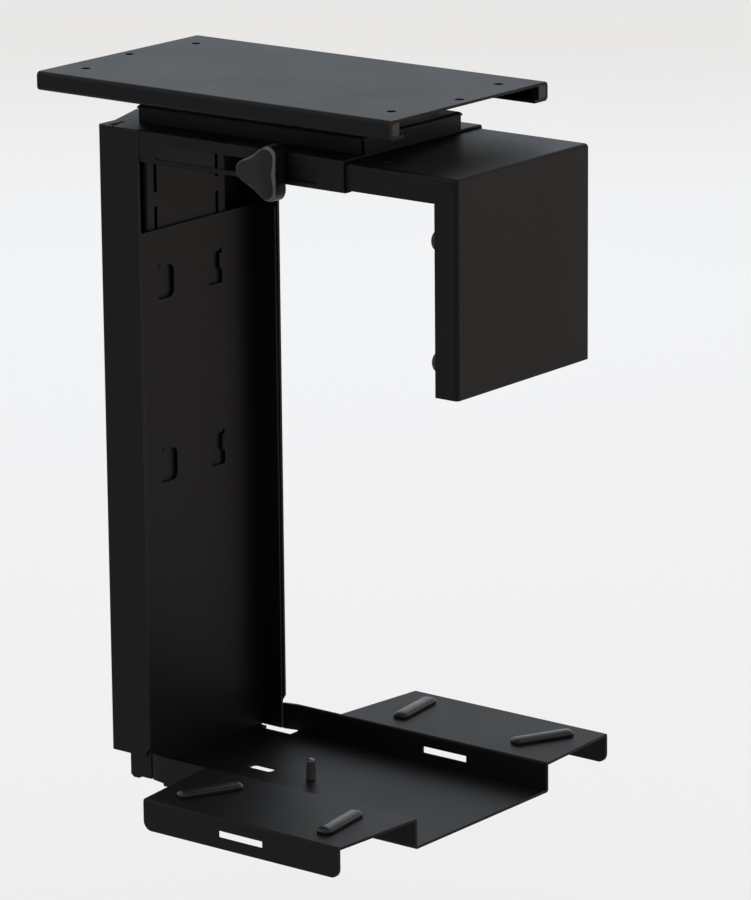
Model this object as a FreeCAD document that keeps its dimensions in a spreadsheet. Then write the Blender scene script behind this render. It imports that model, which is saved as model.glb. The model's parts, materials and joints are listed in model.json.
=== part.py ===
import FreeCAD, Part
import math
import os
from types import SimpleNamespace

import PartDesign
import Sketcher

# Under-desk computer holder.
# A C-rail screwed under the desk carries a sliding carriage. A ball-bearing swivel hangs a turntable pan
# from the carriage, and the pan carries a sleeve and a column. A clamp arm slides in the sleeve and is
# locked by a three-lobed knob. A tray bracket hooks into a slotted rail inside the column.
#
# Frame: the origin is the centre of the C-rail's top face, +Z is up towards the desk, +X is the length of
# the C-rail and the way the clamp arm reaches, and +Y is the back. All sizes are millimetres.

DIMENSIONS = (
    ("sheet", 2.0, "steel sheet of the rail, pan, column and bracket"),
    ("thin_sheet", 1.5, "steel sheet of the sleeve, arm and hook rail"),
    ("gap", 0.3, "running gap between sliding faces"),
    ("bend_outer", 2.0, "outer radius of the column's and bracket's bends"),
    ("plate_length", 300.0, "mounting plate along X"),
    ("plate_width", 170.0, "mounting plate along Y"),
    ("plate_depth", 13.0, "height of the mounting plate's side flanges"),
    ("plate_lip", 14.5, "width of the inward lip under each flange"),
    ("fold_outer", 3.0, "outer radius of the rail's and pan's folds"),
    ("desk_hole_radius", 3.25, "clearance hole for a wood screw"),
    ("desk_hole_x", 130.0, "corner holes, distance from the centre along X"),
    ("desk_hole_y", 57.5, "corner holes, distance from the centre along Y"),
    ("desk_end_hole_x", 141.0, "holes on the centre line, distance along X"),
    ("pivot_x", 7.0, "swivel axis along X"),
    ("carriage_length", 180.0, "carriage plate along X"),
    ("carriage_half_width", 79.0, "carriage plate, half its width"),
    ("carriage_thickness", 2.5, "carriage plate thickness"),
    ("carriage_top", -5.5, "upper face of the carriage plate"),
    ("glide_inner", 74.0, "inner face of a glide strip"),
    ("stop_x", 143.0, "inner ends of the rail stops along X"),
    ("stop_inner", 75.0, "inner faces of the rail stops along Y"),
    ("race_inner", 38.0, "inner radius of the swivel races"),
    ("race_outer", 52.0, "outer radius of the swivel races"),
    ("ball_circle", 45.0, "radius of the circle of balls"),
    ("ball_radius", 3.0, "bearing ball radius"),
    ("groove_radius", 3.15, "radius of the ball groove"),
    ("ball_level", -14.0, "height of the ball centres"),
    ("race_gap", 1.0, "from the ball centres to each race face"),
    ("bolt_radius", 4.0, "pivot bolt shank"),
    ("pan_left", -89.5, "turntable pan, left end"),
    ("pan_right", 103.5, "turntable pan, right end"),
    ("pan_half_width", 53.5, "turntable pan, half its width"),
    ("pan_top", -20.6, "upper face of the turntable pan"),
    ("pan_screw_x", 82.0, "pan screws, distance from the pan's middle"),
    ("pan_screw_y", 38.0, "pan screws, distance from the centre line"),
    ("frame_top", -32.6, "upper face of the sleeve"),
    ("frame_half_width", 74.3, "outer faces of the sleeve and column"),
    ("sleeve_left", -92.5, "left edge of the sleeve's top plate"),
    ("sleeve_wall_left", -69.5, "left end of the sleeve's side walls"),
    ("sleeve_right", 103.5, "right end of the sleeve"),
    ("sleeve_height", 22.0, "height of the sleeve"),
    ("sleeve_lip", 8.0, "inward lip under the sleeve's walls"),
    ("tongue_root", 56.5, "half width of the rear tongue at the column"),
    ("tongue_tip", 20.0, "half width of the rear tongue at its end"),
    ("tongue_end", -119.0, "end of the rear tongue"),
    ("tab_half_width", 40.0, "half width of the tab riveted to the column"),
    ("tab_bottom", -58.0, "lower edge of that tab"),
    ("slot_left", -55.7, "left end of the knob's slot"),
    ("slot_right", 81.6, "right end of the knob's slot"),
    ("slot_half_height", 5.0, "half height of the knob's slot"),
    ("knob_x", 43.6, "knob axis along X"),
    ("knob_level", -45.9, "knob axis height"),
    ("knob_inradius", 13.95, "knob centre to each flat side"),
    ("knob_corner", 7.3, "radius of the knob's lobes"),
    ("knob_front", -88.4, "front face of the knob"),
    ("knob_back", -76.4, "rear face of the knob"),
    ("stud_radius", 3.0, "clamp stud radius"),
    ("washer_radius", 9.0, "clamp washer radius"),
    ("arm_half_width", 72.4, "outer faces of the clamp arm"),
    ("arm_top", -34.6, "upper face of the clamp arm"),
    ("arm_left", 20.0, "inner end of the clamp arm"),
    ("arm_right", 193.4, "outer face of the clamp arm's leg"),
    ("arm_flange", 18.0, "depth of the clamp arm's flanges"),
    ("arm_bottom", -180.0, "lower end of the clamp arm's leg"),
    ("arm_bend", 2.8, "outer radius of the clamp arm's bends"),
    ("dimple_x", 130.0, "dimple on top of the clamp arm, along X"),
    ("dimple_y", -54.6, "dimple on top of the clamp arm, along Y"),
    ("bumper_y", 60.0, "bumpers, distance from the centre line"),
    ("bumper_high", -79.0, "upper bumpers' height"),
    ("bumper_low", -159.0, "lower bumpers' height"),
    ("bumper_radius", 8.0, "bumper radius"),
    ("bumper_tip", 166.0, "bumpers' rubber tips along X"),
    ("column_back", -106.0, "outer face of the column's web"),
    ("column_depth", 34.4, "column along X"),
    ("ear_length", 7.5, "ears folded over at the top of the column's web"),
    ("column_bottom", -471.3, "lower end of the column"),
    ("rail_face", -92.5, "face of the hook rail"),
    ("rail_half_width", 42.5, "half width of the hook rail's face"),
    ("rail_foot", 54.5, "outer edge of the hook rail's feet"),
    ("rail_top", -38.0, "upper end of the hook rail"),
    ("rail_bottom", -466.0, "lower end of the hook rail"),
    ("hook_pitch", 32.2, "distance between hook slots"),
    ("hook_y", 32.3, "hook slots, distance from the centre line"),
    ("hook_slot_width", 3.2, "width of a hook slot"),
    ("hook_slot_height", 22.5, "height of a hook slot"),
    ("first_slot_bottom", -84.9, "lower edge of the highest hook slot"),
    ("web_back", -92.2, "rear face of the bracket's upright"),
    ("upright_half_width", 72.0, "outer faces of the upright's flanges"),
    ("upright_depth", 19.6, "upright along X"),
    ("upright_top", -110.0, "upper end of the upright"),
    ("window_inner", 17.4, "hook window, inner edge"),
    ("window_height", 23.0, "hook window height"),
    ("window_bottom", -159.0, "upper hook windows, lower edge"),
    ("relief_radius", 1.6, "relief hole above each hook's bend"),
    ("hook_neck", 11.0, "height of a hook's neck"),
    ("hook_reach", 10.8, "hook length behind the upright"),
    ("hook_drop", 20.4, "height of a hook, top to nose"),
    ("tray_half_width", 74.3, "outer faces of the tray's risers"),
    ("tray_right", 158.2, "right end of the tray"),
    ("tray_bottom", -490.0, "underside of the tray floor"),
    ("riser_height", 21.4, "height of the tray's risers"),
    ("riser_left", -71.2, "left end of the risers"),
    ("joggle_end", -60.8, "where the risers reach full width"),
    ("notch_left", -86.0, "corner notch in the floor, left end"),
    ("notch_inner", 64.0, "corner notch in the floor, inner edge"),
    ("ledge_half_width", 150.0, "outer edges of the ledges"),
    ("ledge_root_left", -22.0, "ledge left end at the riser"),
    ("ledge_tip_left", -13.0, "ledge left end at the outer edge"),
    ("ledge_tip_right", 153.5, "ledge right end at the outer edge"),
    ("strap_left", 51.3, "strap slots, left end"),
    ("strap_right", 89.4, "strap slots, right end"),
    ("strap_bottom", -482.6, "strap slots, lower edge"),
    ("strap_height", 5.2, "strap slot height"),
    ("floor_slot_x", -28.5, "floor slot centre along X"),
    ("floor_slot_y", -5.5, "floor slot and stud, centre along Y"),
    ("floor_slot_length", 21.0, "floor slot length"),
    ("floor_slot_width", 10.0, "floor slot width"),
    ("tray_stud_x", 14.5, "tray stud along X"),
    ("tray_stud_radius", 3.3, "tray stud radius"),
    ("tray_stud_height", 15.0, "tray stud height"),
    ("pad_left_x", 14.0, "left pads along X"),
    ("pad_right_x", 125.0, "right pads along X"),
    ("pad_y", 112.5, "pads, distance from the centre line"),
    ("pad_length", 47.0, "pad length"),
    ("pad_width", 11.5, "pad width"),
    ("pad_height", 4.4, "pad height"),
    ("pad_corner", 4.5, "radius of a pad's corners"),
    ("pad_lean_wide", 26.0, "front left and back right pads, degrees from the Y axis"),
    ("pad_lean_slight", 8.0, "front right and back left pads, degrees from the Y axis"),
    ("pad_stem_spacing", 26.0, "distance between a pad's stems"),
    ("pad_stem_radius", 2.5, "radius of a pad's stems"),
    ("rivet_radius", 2.4, "rivet shank radius"),
    ("rivet_head_radius", 4.6, "rivet head radius"),
    ("rivet_head_height", 1.7, "rivet head height"),
)

BALL_COUNT = 24
HOOK_SLOT_COUNT = 12
HOOK_ROWS_APART = 4        # slots between the upper and the lower hooks
SMALLEST_CUT = 0.5         # cubic millimetres: a cut that takes less has missed


class Size:
    """A length that knows its number and the spreadsheet expression that gives it."""

    def __init__(self, value, text):
        self.value = value
        self.text = text

    def __add__(self, other):
        other = as_size(other)
        return Size(self.value + other.value, f"({self.text} + {other.text})")

    def __sub__(self, other):
        other = as_size(other)
        return Size(self.value - other.value, f"({self.text} - {other.text})")

    def __mul__(self, factor):
        return Size(self.value * factor, f"({self.text} * {factor})")

    def __truediv__(self, factor):
        return Size(self.value / factor, f"({self.text} / {factor})")

    def __neg__(self):
        return Size(-self.value, f"(0 - {self.text})")


def as_size(number):
    if isinstance(number, Size):
        return number
    return Size(float(number), f"{float(number)}")


def fill_spreadsheet():
    """Write every driving dimension as plain text with an alias, and return them by name."""
    sheet = doc.addObject("Spreadsheet::Sheet", "Sizes")
    named = {}
    for row, (alias, value, meaning) in enumerate(DIMENSIONS, start=1):
        sheet.set(f"A{row}", meaning)
        sheet.set(f"B{row}", str(value))
        sheet.setAlias(f"B{row}", alias)
        named[alias] = Size(value, f"Sizes.{alias}")
    doc.recompute()
    return SimpleNamespace(**named)


# ---------------------------------------------------------------- sketches and features

ZERO = Size(0.0, "0")


def new_body(label):
    body = doc.addObject("PartDesign::Body", label)
    body.Label = label
    return body


def origin_plane(body, role):
    return next(item for item in body.Origin.OriginFeatures if item.Role == role)


def sketch_on(body, role, offset):
    """A sketch on one of the body's own origin planes, moved along that plane's normal."""
    sketch = body.newObject("Sketcher::SketchObject", f"{body.Name}_sketch")
    sketch.AttachmentSupport = [(origin_plane(body, role), "")]
    sketch.MapMode = "FlatFace"
    sketch.AttachmentOffset = FreeCAD.Placement(FreeCAD.Vector(0, 0, offset.value), FreeCAD.Rotation())
    sketch.setExpression(".AttachmentOffset.Base.z", offset.text)
    return sketch


def bind(sketch, kind, *arguments):
    """Add a constraint whose last argument is a Size, and tie it to the spreadsheet."""
    *places, size = arguments
    index = sketch.addConstraint(Sketcher.Constraint(kind, *places, size.value))
    sketch.setExpression(f"Constraints[{index}]", size.text)


def polygon(sketch, corners):
    """A closed outline through corners, each an (x, y) pair of Sizes."""
    corners = [(as_size(x), as_size(y)) for x, y in corners]
    points = [FreeCAD.Vector(x.value, y.value, 0) for x, y in corners]
    first = sketch.GeometryCount
    for start, end in zip(points, points[1:] + points[:1]):
        sketch.addGeometry(Part.LineSegment(start, end), False)
    count = len(points)
    for index, (x, y) in enumerate(corners):
        line = first + index
        sketch.addConstraint(Sketcher.Constraint("Coincident", line, 2, first + (index + 1) % count, 1))
        bind(sketch, "DistanceX", line, 1, x)
        bind(sketch, "DistanceY", line, 1, y)


def box_outline(left, right, low, high):
    return [(left, low), (right, low), (right, high), (left, high)]


def circle(sketch, x, y, radius):
    x, y = as_size(x), as_size(y)
    centre = FreeCAD.Vector(x.value, y.value, 0)
    index = sketch.addGeometry(Part.Circle(centre, FreeCAD.Vector(0, 0, 1), radius.value), False)
    bind(sketch, "Radius", index, radius)
    bind(sketch, "DistanceX", index, 3, x)
    bind(sketch, "DistanceY", index, 3, y)


def draw(sketch, outlines):
    """Each outline is a list of corners, or a circle as (x, y, radius)."""
    for outline in outlines:
        if isinstance(outline, tuple):
            circle(sketch, *outline)
        else:
            polygon(sketch, outline)


def finish(body, feature):
    """Recompute, and stop at once if the newest feature failed."""
    doc.recompute()
    if "Invalid" in feature.State or feature.Shape.isNull():
        raise RuntimeError(f"{feature.Name} failed on {body.Label}")
    return feature


def extrude(body, role, outlines, low, high):
    """Add material between two levels along X, Y or Z."""
    low, high = as_size(low), as_size(high)
    offset = -high if role == "XZ_Plane" else low
    sketch = sketch_on(body, role, offset)
    draw(sketch, outlines)
    pad = body.newObject("PartDesign::Pad", f"{body.Name}_pad")
    pad.Profile = sketch
    pad.setExpression("Length", (high - low).text)
    return finish(body, pad)


def cut(body, role, outlines, low, high):
    """Remove material between two levels along X, Y or Z."""
    low, high = as_size(low), as_size(high)
    before = body.Shape.Volume
    offset = -low if role == "XZ_Plane" else high
    sketch = sketch_on(body, role, offset)
    draw(sketch, outlines)
    pocket = body.newObject("PartDesign::Pocket", f"{body.Name}_pocket")
    pocket.Profile = sketch
    pocket.setExpression("Length", (high - low).text)
    finish(body, pocket)
    if before - body.Shape.Volume < SMALLEST_CUT:
        raise RuntimeError(f"a pocket in {body.Label} cuts nothing")
    return pocket


def revolve(body, outline):
    """Turn an outline of (radius, height) corners about the body's Z axis."""
    sketch = sketch_on(body, "XZ_Plane", ZERO)
    draw(sketch, [outline])
    feature = body.newObject("PartDesign::Revolution", f"{body.Name}_revolution")
    feature.Profile = sketch
    feature.ReferenceAxis = (sketch, ["V_Axis"])
    feature.Angle = 360.0
    return finish(body, feature)


def is_straight(edge):
    """A rounded corner has a pole, which is an edge without a curve."""
    return not edge.Degenerated and edge.Curve.TypeId == "Part::GeomLine"


def round_edges(body, radius, is_wanted):
    """Fillet the straight edges that is_wanted(middle, direction) picks."""
    base = body.Tip
    names = []
    for index, edge in enumerate(base.Shape.Edges, start=1):
        if not is_straight(edge):
            continue
        first, last = edge.Vertexes[0].Point, edge.Vertexes[-1].Point
        middle = (first + last) * 0.5
        if is_wanted(middle, (last - first).normalize()):
            names.append(f"Edge{index}")
    if not names:
        raise RuntimeError(f"no edge to round on {body.Label}")
    fillet = body.newObject("PartDesign::Fillet", f"{body.Name}_fillet")
    fillet.Base = (base, names)
    fillet.setExpression("Radius", as_size(radius).text)
    return finish(body, fillet)


def near(first, second, within=0.05):
    return abs(first - second) < within


def place(item, x=ZERO, y=ZERO, z=ZERO, rotation=None):
    """Give a sub-part its Placement, with the position tied to the spreadsheet."""
    x, y, z = as_size(x), as_size(y), as_size(z)
    item.Placement = FreeCAD.Placement(FreeCAD.Vector(x.value, y.value, z.value),
                                       rotation or FreeCAD.Rotation())
    item.setExpression("Placement.Base.x", x.text)
    item.setExpression("Placement.Base.y", y.text)
    item.setExpression("Placement.Base.z", z.text)


def group(label, members):
    """Identical loose pieces share one node as a group of separate solids."""
    compound = doc.addObject("Part::Compound", label)
    compound.Label = label
    compound.Links = members
    return compound


def turned_group(label, outline, places, rotation=None):
    """Copies of one turned piece, each its own body, gathered in one node."""
    members = []
    for index, (x, y, z) in enumerate(places, start=1):
        body = new_body(f"{label}_{index}")
        revolve(body, outline)
        place(body, x, y, z, rotation)
        members.append(body)
    return group(label, members)


UP_TO_MINUS_X = FreeCAD.Rotation(FreeCAD.Vector(0, 1, 0), -90)
UP_TO_PLUS_X = FreeCAD.Rotation(FreeCAD.Vector(0, 1, 0), 90)
UP_TO_MINUS_Y = FreeCAD.Rotation(FreeCAD.Vector(1, 0, 0), 90)


# ---------------------------------------------------------------- rail and carriage

def c_profile(half_width, top, depth, lip, thickness):
    """Cross-section of a channel that opens downwards, with inward lips."""
    bottom = top - depth
    right = [
        (half_width, top), (half_width, bottom), (half_width - lip, bottom),
        (half_width - lip, bottom + thickness), (half_width - thickness, bottom + thickness),
        (half_width - thickness, top - thickness),
    ]
    left = [(-x, y) for x, y in reversed(right)]
    return right + left


def along(axis, direction):
    return abs(direction[axis]) > 0.99


def make_mounting_plate(s):
    """C-rail folded from one sheet, screwed under the desk through six holes."""
    body = new_body("mounting_plate")
    outline = c_profile(s.plate_width / 2, ZERO, s.plate_depth, s.plate_lip, s.sheet)
    extrude(body, "YZ_Plane", [outline], -s.plate_length / 2, s.plate_length / 2)
    outer = s.plate_width.value / 2
    inner = outer - s.sheet.value
    lip_top = s.sheet.value - s.plate_depth.value

    def outer_bend(middle, direction):
        return along(0, direction) and near(abs(middle.y), outer)

    def inner_bend(middle, direction):
        levels = near(middle.z, -s.sheet.value) or near(middle.z, lip_top)
        return along(0, direction) and near(abs(middle.y), inner) and levels

    round_edges(body, s.fold_outer, outer_bend)
    round_edges(body, s.fold_outer - s.sheet, inner_bend)
    holes = [(s.desk_hole_x * side, s.desk_hole_y * row, s.desk_hole_radius)
             for side in (-1, 1) for row in (-1, 1)]
    holes += [(s.desk_end_hole_x * side, ZERO, s.desk_hole_radius) for side in (-1, 1)]
    cut(body, "XY_Plane", holes, -s.sheet, ZERO)
    return body


def make_rail_stops(s):
    """Moulded blocks pushed into the ends of the rail's corners, where they stop the carriage."""
    outer = s.plate_width / 2 - s.sheet
    top, bottom = -s.sheet, s.sheet - s.plate_depth
    corner = s.fold_outer - s.sheet + 0.2
    profile = [
        (s.stop_inner, bottom), (outer - corner, bottom), (outer, bottom + corner),
        (outer, top - corner), (outer - corner, top), (s.stop_inner, top),
    ]
    blocks = []
    for end in (-1, 1):
        low, high = sorted((s.stop_x * end, s.plate_length / 2 * end), key=lambda x: x.value)
        for side in (-1, 1):
            body = new_body(f"rail_stop_{len(blocks) + 1}")
            extrude(body, "YZ_Plane", [[(y * side, z) for y, z in profile]], low, high)
            blocks.append(body)
    return group("rail_stops", blocks)


def race_rivet_places(s, turn, level):
    """Four rivets on the inner rim of a swivel race."""
    radius = (s.race_inner + s.ball_circle - s.groove_radius) / 2
    quarter = math.pi / 2
    angles = [turn + quarter * index for index in range(4)]
    return [(s.pivot_x + radius * math.cos(angle), radius * math.sin(angle), level) for angle in angles]


def make_carriage_plate(s):
    """Plate that slides in the rail and carries the swivel."""
    body = new_body("carriage_plate")
    half = s.carriage_length / 2
    outline = box_outline(s.pivot_x - half, s.pivot_x + half, -s.carriage_half_width,
                          s.carriage_half_width)
    bottom = s.carriage_top - s.carriage_thickness
    extrude(body, "XY_Plane", [outline], bottom, s.carriage_top)
    holes = [(s.pivot_x, ZERO, s.bolt_radius)]
    holes += [(x, y, as_size(2.0)) for x, y, _ in race_rivet_places(s, 0.0, ZERO)]
    cut(body, "XY_Plane", holes, bottom, s.carriage_top)
    return body


def make_glide(s, label, side):
    """Nylon strip that lines one side of the rail and grips the carriage plate's edge."""
    body = new_body(label)
    outer = s.plate_width / 2 - s.sheet - s.gap
    top = -s.sheet - s.gap
    bottom = s.sheet - s.plate_depth + s.gap
    plate_bottom = s.carriage_top - s.carriage_thickness
    profile = [
        (s.glide_inner, bottom), (outer, bottom), (outer, top), (s.glide_inner, top),
        (s.glide_inner, s.carriage_top), (s.carriage_half_width, s.carriage_top),
        (s.carriage_half_width, plate_bottom), (s.glide_inner, plate_bottom),
    ]
    half = s.carriage_length / 2
    outline = [(x * side, y) for x, y in profile]
    extrude(body, "YZ_Plane", [outline], s.pivot_x - half, s.pivot_x + half)
    return body


# ---------------------------------------------------------------- swivel

def make_race(s, label, flat_level, groove_level, turn):
    """Hardened ring with a round groove for the balls, riveted on through its inner rim."""
    body = new_body(label)
    low, high = sorted((flat_level, groove_level), key=lambda size: size.value)
    revolve(body, [(s.race_inner, low), (s.race_outer, low), (s.race_outer, high), (s.race_inner, high)])
    sketch = sketch_on(body, "XZ_Plane", ZERO)
    circle(sketch, s.ball_circle, s.ball_level, s.groove_radius)
    before = body.Shape.Volume
    groove = body.newObject("PartDesign::Groove", f"{label}_groove")
    groove.Profile = sketch
    groove.ReferenceAxis = (sketch, ["V_Axis"])
    groove.Angle = 360.0
    finish(body, groove)
    if before - body.Shape.Volume < SMALLEST_CUT:
        raise RuntimeError(f"the ball groove of {label} cuts nothing")
    holes = [(x - s.pivot_x, y, as_size(2.0)) for x, y, _ in race_rivet_places(s, turn, ZERO)]
    cut(body, "XY_Plane", holes, low, high)
    place(body, x=s.pivot_x)
    return body


def make_ball_cage(s):
    """Thin ring that keeps the balls evenly spaced."""
    body = new_body("ball_cage")
    half = 0.6
    inner, outer = s.ball_circle - 4.5, s.ball_circle + 4.5
    low, high = s.ball_level - half, s.ball_level + half
    revolve(body, [(inner, low), (outer, low), (outer, high), (inner, high)])
    pockets = []
    for index in range(BALL_COUNT):
        angle = 2 * math.pi * index / BALL_COUNT
        pockets.append((s.ball_circle * math.cos(angle), s.ball_circle * math.sin(angle),
                        s.groove_radius))
    cut(body, "XY_Plane", pockets, low, high)
    place(body, x=s.pivot_x)
    return body


def make_balls(s):
    balls = []
    for index in range(BALL_COUNT):
        angle = 2 * math.pi * index / BALL_COUNT
        ball = doc.addObject("Part::Sphere", f"ball_{index + 1}")
        ball.setExpression("Radius", s.ball_radius.text)
        place(ball, s.pivot_x + s.ball_circle * math.cos(angle), s.ball_circle * math.sin(angle),
              s.ball_level)
        balls.append(ball)
    return group("bearing_balls", balls)


def make_race_rivets(s, label, turn, low, high):
    """Short flush rivets that fill the holes of a race and of the sheet it sits on."""
    outline = [(ZERO, ZERO), (as_size(2.0), ZERO), (as_size(2.0), high - low), (ZERO, high - low)]
    return turned_group(label, outline, race_rivet_places(s, turn, low))


def make_pivot(s):
    """Bolt, washers and nut that hold the turntable up against the bearing."""
    carriage_bottom = s.carriage_top - s.carriage_thickness
    pan_under = s.pan_top - s.sheet
    bolt_end = s.frame_top + 0.9
    head_radius, head_height = as_size(9.0), as_size(2.4)
    bolt = new_body("pivot_bolt")
    revolve(bolt, [
        (ZERO, bolt_end), (s.bolt_radius, bolt_end), (s.bolt_radius, s.carriage_top),
        (head_radius, s.carriage_top), (head_radius, s.carriage_top + head_height),
        (ZERO, s.carriage_top + head_height),
    ])
    place(bolt, x=s.pivot_x)

    disc_outer, disc_thickness = as_size(11.0), as_size(0.8)
    disc = new_body("friction_disc")
    disc_inner = s.bolt_radius + 0.08
    revolve(disc, box_outline(disc_inner, disc_outer, pan_under - disc_thickness, pan_under))
    place(disc, x=s.pivot_x)

    washer_top = pan_under - disc_thickness - 0.05
    washer_bottom = washer_top - 1.2
    washer = new_body("pivot_washer")
    revolve(washer, box_outline(s.bolt_radius, as_size(8.5), washer_bottom, washer_top))
    place(washer, x=s.pivot_x)

    nut = new_body("pivot_nut")
    nut_bottom = bolt_end + 0.6
    corner = 7.5
    angles = [math.pi * step / 3 for step in range(6)]
    hexagon = [(corner * math.cos(angle), corner * math.sin(angle)) for angle in angles]
    extrude(nut, "XY_Plane", [hexagon, (ZERO, ZERO, s.bolt_radius)], nut_bottom, washer_bottom)
    place(nut, x=s.pivot_x)

    collar = new_body("pivot_collar")
    revolve(collar, box_outline(s.bolt_radius, as_size(10.0), s.pan_top + 0.3, carriage_bottom))
    place(collar, x=s.pivot_x)
    return [bolt, disc, washer, nut, collar]


# ---------------------------------------------------------------- turntable pan

def pan_middle(s):
    return (s.pan_left + s.pan_right) / 2


def pan_screw_places(s, level):
    middle = pan_middle(s)
    return [(middle + s.pan_screw_x * side, s.pan_screw_y * row, level)
            for side in (-1, 1) for row in (-1, 1)]


def make_turntable_pan(s):
    """Shallow inverted tray, folded down on four sides, with an open relief at each corner."""
    body = new_body("turntable_pan")
    outline = box_outline(s.pan_left, s.pan_right, -s.pan_half_width, s.pan_half_width)
    extrude(body, "XY_Plane", [outline], s.frame_top, s.pan_top)
    top = s.pan_top.value

    def rim(middle, direction):
        return near(middle.z, top) and not along(2, direction)

    round_edges(body, s.fold_outer, rim)
    inside = box_outline(s.pan_left + s.sheet, s.pan_right - s.sheet, s.sheet - s.pan_half_width,
                         s.pan_half_width - s.sheet)
    cut(body, "XY_Plane", [inside], s.frame_top, s.pan_top - s.sheet)
    reliefs = []
    relief = 3.2
    for left in (s.pan_left - 1, s.pan_right + 1 - relief):
        for low in (-s.pan_half_width - 1, s.pan_half_width + 1 - relief):
            reliefs.append(box_outline(left, left + relief, low, low + relief))
    cut(body, "XY_Plane", reliefs, s.frame_top, s.pan_top - s.sheet - 0.6)
    holes = [(s.pivot_x, ZERO, s.bolt_radius + 0.06)]
    holes += [(x, y, as_size(2.0)) for x, y, _ in race_rivet_places(s, math.pi / 4, ZERO)]
    holes += [(x, y, s.rivet_radius) for x, y, _ in pan_screw_places(s, ZERO)]
    cut(body, "XY_Plane", holes, s.pan_top - s.sheet, s.pan_top)
    return body


def make_pan_fasteners(s):
    """Countersunk-style screws with tube spacers between the pan and the sleeve."""
    end = s.frame_top - s.thin_sheet
    head_top = s.pan_top + 1.6
    screw = [
        (ZERO, end - s.pan_top), (s.rivet_radius, end - s.pan_top), (s.rivet_radius, ZERO),
        (as_size(4.5), ZERO), (as_size(3.6), head_top - s.pan_top), (ZERO, head_top - s.pan_top),
    ]
    screws = turned_group("pan_screws", screw, pan_screw_places(s, s.pan_top))
    height = s.pan_top - s.sheet - s.frame_top
    tube = box_outline(s.rivet_radius, as_size(5.0), ZERO, height)
    spacers = turned_group("pan_spacers", tube, pan_screw_places(s, s.frame_top))
    return [screws, spacers]


# ---------------------------------------------------------------- sleeve, column and hook rail

def column_rivet_places(s):
    """Rivets that join the sleeve's tab to the column's web."""
    levels = (s.frame_top - 10.0, s.frame_top - 19.0)
    return [(s.column_back, (s.tab_half_width - 10.0) * row, level) for row in (-1, 1) for level in levels]


def rail_rivet_places(s):
    """Rivets that join the hook rail's feet to the column's web."""
    y = (s.rail_half_width + s.rail_foot) / 2 + 0.4
    span = s.rail_top - s.rail_bottom - 40.0
    levels = [s.rail_top - 20.0 - span * (index / 3) for index in range(4)]
    return [(s.column_back, y * row, level) for row in (-1, 1) for level in levels]


def make_arm_sleeve(s):
    """Inverted channel that guides the clamp arm, with lips under it and a slot for the knob."""
    body = new_body("arm_sleeve")
    half, thin = s.frame_half_width, s.thin_sheet
    under = s.frame_top - thin
    profile = c_profile(half, s.frame_top, s.sleeve_height, s.sleeve_lip, thin)
    extrude(body, "YZ_Plane", [profile], s.sleeve_wall_left, s.sleeve_right)

    def outer_bend(middle, direction):
        return along(0, direction) and near(abs(middle.y), half.value)

    round_edges(body, 2.0, outer_bend)
    neck = s.sleeve_left - 4.2
    web_face = s.column_back
    top_plate = [
        (s.sleeve_wall_left, -half), (s.sleeve_wall_left, half), (s.sleeve_left, half),
        (neck, s.tongue_root), (web_face, s.tongue_root), (s.tongue_end, s.tongue_tip),
        (s.tongue_end, -s.tongue_tip), (web_face, -s.tongue_root), (neck, -s.tongue_root),
        (s.sleeve_left, -half),
    ]
    extrude(body, "XY_Plane", [top_plate], under, s.frame_top)
    tab_back = s.column_back + s.sheet
    tab = box_outline(tab_back, tab_back + thin, -s.tab_half_width, s.tab_half_width)
    extrude(body, "XY_Plane", [tab], s.tab_bottom, under)
    slot = box_outline(s.slot_left, s.slot_right, s.knob_level - s.slot_half_height,
                       s.knob_level + s.slot_half_height)
    cut(body, "XZ_Plane", [slot], -half, thin - half)

    def slot_corner(middle, direction):
        ends = near(middle.x, s.slot_left.value) or near(middle.x, s.slot_right.value)
        return along(1, direction) and ends

    round_edges(body, 1.5, slot_corner)
    screw_holes = [(x, y, s.rivet_radius) for x, y, _ in pan_screw_places(s, ZERO)]
    cut(body, "XY_Plane", screw_holes, under, s.frame_top)
    tab_holes = [(y, z, s.rivet_radius) for _, y, z in column_rivet_places(s)]
    cut(body, "YZ_Plane", tab_holes, tab_back, tab_back + thin)
    return body


def make_column(s):
    """C-channel that opens towards +X, with the lower corners of its flanges cut off."""
    body = new_body("column")
    half = s.frame_half_width
    left, right = s.column_back, s.column_back + s.column_depth
    outline = [
        (left, -half), (right, -half), (right, s.sheet - half), (left + s.sheet, s.sheet - half),
        (left + s.sheet, half - s.sheet), (right, half - s.sheet), (right, half), (left, half),
    ]
    extrude(body, "XY_Plane", [outline], s.column_bottom, s.frame_top)

    def outer_bend(middle, direction):
        return along(2, direction) and near(middle.x, left.value)

    round_edges(body, s.bend_outer, outer_bend)
    seat = s.frame_top - s.thin_sheet - 0.1
    room = s.sleeve_left - 1.0
    cut(body, "XY_Plane", [box_outline(room, right + 1, -half - 1, half + 1)], seat, s.frame_top)
    tongue = s.tongue_root + 0.3
    cut(body, "XY_Plane", [box_outline(left - 1, left + s.sheet + 1, -tongue, tongue)], seat, s.frame_top)
    ear_end = half - s.sheet - 0.4
    ears = [box_outline(left + s.sheet / 2, left + s.ear_length, low, high)
            for low, high in ((-ear_end, -tongue), (tongue, ear_end))]
    extrude(body, "XY_Plane", ears, s.frame_top - s.sheet, s.frame_top)
    corner = [(right + 1, s.column_bottom - 1), (right + 1, s.column_bottom + 7.5),
              (right, s.column_bottom + 7.5), (right - 5.0, s.column_bottom),
              (right - 5.0, s.column_bottom - 1)]
    cut(body, "XZ_Plane", [corner], -half - 1, half + 1)
    holes = [(y, z, s.rivet_radius) for _, y, z in column_rivet_places(s) + rail_rivet_places(s)]
    cut(body, "YZ_Plane", holes, left, left + s.sheet)
    return body


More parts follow.
